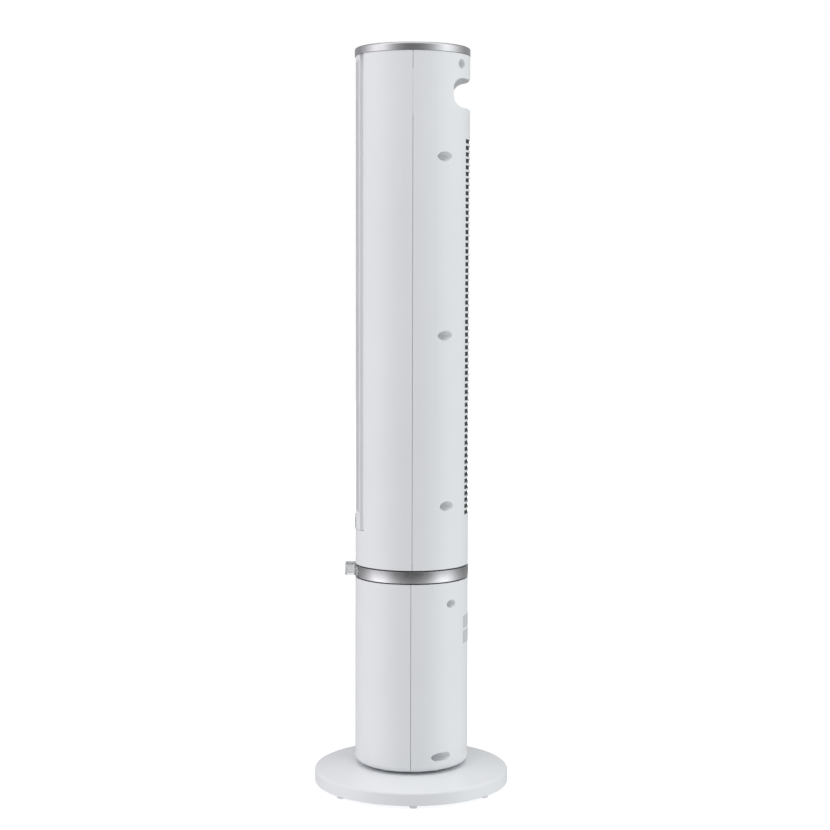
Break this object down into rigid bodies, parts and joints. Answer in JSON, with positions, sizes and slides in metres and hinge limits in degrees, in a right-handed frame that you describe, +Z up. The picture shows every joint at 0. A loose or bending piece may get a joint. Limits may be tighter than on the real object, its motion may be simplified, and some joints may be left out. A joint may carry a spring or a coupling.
{
  "type": "tower fan",
  "caption": "White cylindrical tower fan on a round weighted base, with bright rings, a tall front outlet, a slotted rear intake, a carry groove and a pull-out clear tray.",
  "frame": {"origin": "on the floor, under the tower's axis, at the centre of the base's feet plane", "axes": "+Z up along the tower's axis, -Y out of the front outlet, +Y out of the rear intake, +X to the fan's left"},
  "size_m": [0.282, 0.282, 1.0622],
  "materials": {
    "white_shell": "satin moulded ABS",
    "white_grille": "satin moulded ABS",
    "inner_white": "moulded ABS, unpainted",
    "panel_white": "gloss ABS",
    "ballast_steel": "cut steel plate, black paint",
    "foot_rubber": "pale translucent rubber",
    "black_rubber": "black rubber",
    "bearing_plastic": "natural acetal",
    "zinc_steel": "zinc plated pressed steel",
    "shaft_steel": "ground steel",
    "screw_steel": "zinc plated screws",
    "label_grey": "blank printed film labels",
    "circuit_board": "glass fibre board with parts",
    "bright_ring": "satin chrome plated ABS",
    "clear_plastic": "clear polystyrene",
    "scent_fibre": "white fibre pad",
    "copper_winding": "enamelled copper on steel laminations",
    "bronze": "oil-filled bronze",
    "dark_plastic": "black moulded ABS",
    "screen_mesh": "black nylon dust mesh",
    "badge_grey": "blank moulded badge",
    "cable_grey": "flat ribbon cable",
    "display_black": "display housing",
    "dark_lens": "smoked acrylic",
    "button_grey": "moulded ABS"
  },
  "bodies": {
    "base": {"base_cover": "white_shell", "base_pan": "inner_white", "ballast_plate": "ballast_steel", "rubber_feet": "foot_rubber", "base_screws": "screw_steel", "pivot_post": "inner_white", "post_screws": "screw_steel", "thrust_ring": "bearing_plastic", "retaining_washer": "zinc_steel", "fixed_gear": "bearing_plastic", "gear_screws": "screw_steel", "cord_gland": "black_rubber"},
    "tower": {"turntable": "inner_white", "turntable_screws": "screw_steel", "swing_motor": "zinc_steel", "swing_motor_screws": "screw_steel", "lower_front_shell": "white_shell", "lower_rear_shell": "white_shell", "lower_shell_screws": "screw_steel", "rating_labels": "label_grey", "power_board": "circuit_board", "power_board_screws": "screw_steel", "middle_ring": "bright_ring", "middle_frame": "dark_plastic", "motor_bracket": "zinc_steel", "motor_grommets": "black_rubber", "motor_screws": "screw_steel", "motor_can": "zinc_steel", "motor_stator": "copper_winding", "motor_bushes": "bronze", "duct_scroll": "dark_plastic", "duct_tongue": "dark_plastic", "head_frame": "inner_white", "axle_bush": "bronze", "upper_front_shell": "white_shell", "upper_rear_shell": "white_shell", "intake_screen": "screen_mesh", "upper_shell_screws": "screw_steel", "front_grille": "white_grille", "badge": "badge_grey", "control_cable": "cable_grey", "control_board": "circuit_board", "control_board_screws": "screw_steel", "display_module": "display_black", "display_window": "dark_lens", "control_panel": "panel_white", "top_ring": "bright_ring"},
    "swing_pinion": {"swing_pinion": "bearing_plastic"},
    "fan_wheel": {"fan_wheel": "dark_plastic", "wheel_axle": "shaft_steel", "motor_shaft": "shaft_steel", "motor_rotor": "zinc_steel"},
    "scent_tray": {"scent_tray": "clear_plastic", "scent_pad": "scent_fibre"},
    "button_power": {"button_power": "button_grey"},
    "button_speed": {"button_speed": "button_grey"},
    "button_mode": {"button_mode": "button_grey"},
    "button_swing": {"button_swing": "button_grey"},
    "button_timer": {"button_timer": "button_grey"}
  },
  "joints": [
    {"name": "oscillation", "type": "hinge", "parent": "base", "child": "tower", "pos_m": [0, 0, 0.04], "axis": [0, 0, 1], "range_deg": [-40, 40]},
    {"name": "pinion_turn", "type": "hinge", "parent": "tower", "child": "swing_pinion", "pos_m": [0, -0.048, 0.05], "axis": [0, 0, 1], "range_deg": [-121, 121]},
    {"name": "wheel_spin", "type": "hinge", "parent": "tower", "child": "fan_wheel", "pos_m": [0, 0.01, 0.6], "axis": [0, 0, 1], "continuous": true},
    {"name": "tray_slide", "type": "slide", "parent": "tower", "child": "scent_tray", "axis": [0, -1, 0], "range_m": [0, 0.035]},
    {"name": "press_power", "type": "slide", "parent": "tower", "child": "button_power", "axis": [0, 0, -1], "range_m": [0, 0.0012], "stiffness_N_per_m": 800, "springref_m": -0.001},
    {"name": "press_speed", "type": "slide", "parent": "tower", "child": "button_speed", "axis": [0, 0, -1], "range_m": [0, 0.0012], "stiffness_N_per_m": 800, "springref_m": -0.001},
    {"name": "press_mode", "type": "slide", "parent": "tower", "child": "button_mode", "axis": [0, 0, -1], "range_m": [0, 0.0012], "stiffness_N_per_m": 800, "springref_m": -0.001},
    {"name": "press_swing", "type": "slide", "parent": "tower", "child": "button_swing", "axis": [0, 0, -1], "range_m": [0, 0.0012], "stiffness_N_per_m": 800, "springref_m": -0.001},
    {"name": "press_timer", "type": "slide", "parent": "tower", "child": "button_timer", "axis": [0, 0, -1], "range_m": [0, 0.0012], "stiffness_N_per_m": 800, "springref_m": -0.001}
  ],
  "couplings": [
    {"joint": "pinion_turn", "follows": "oscillation", "ratio": 3}
  ]
}
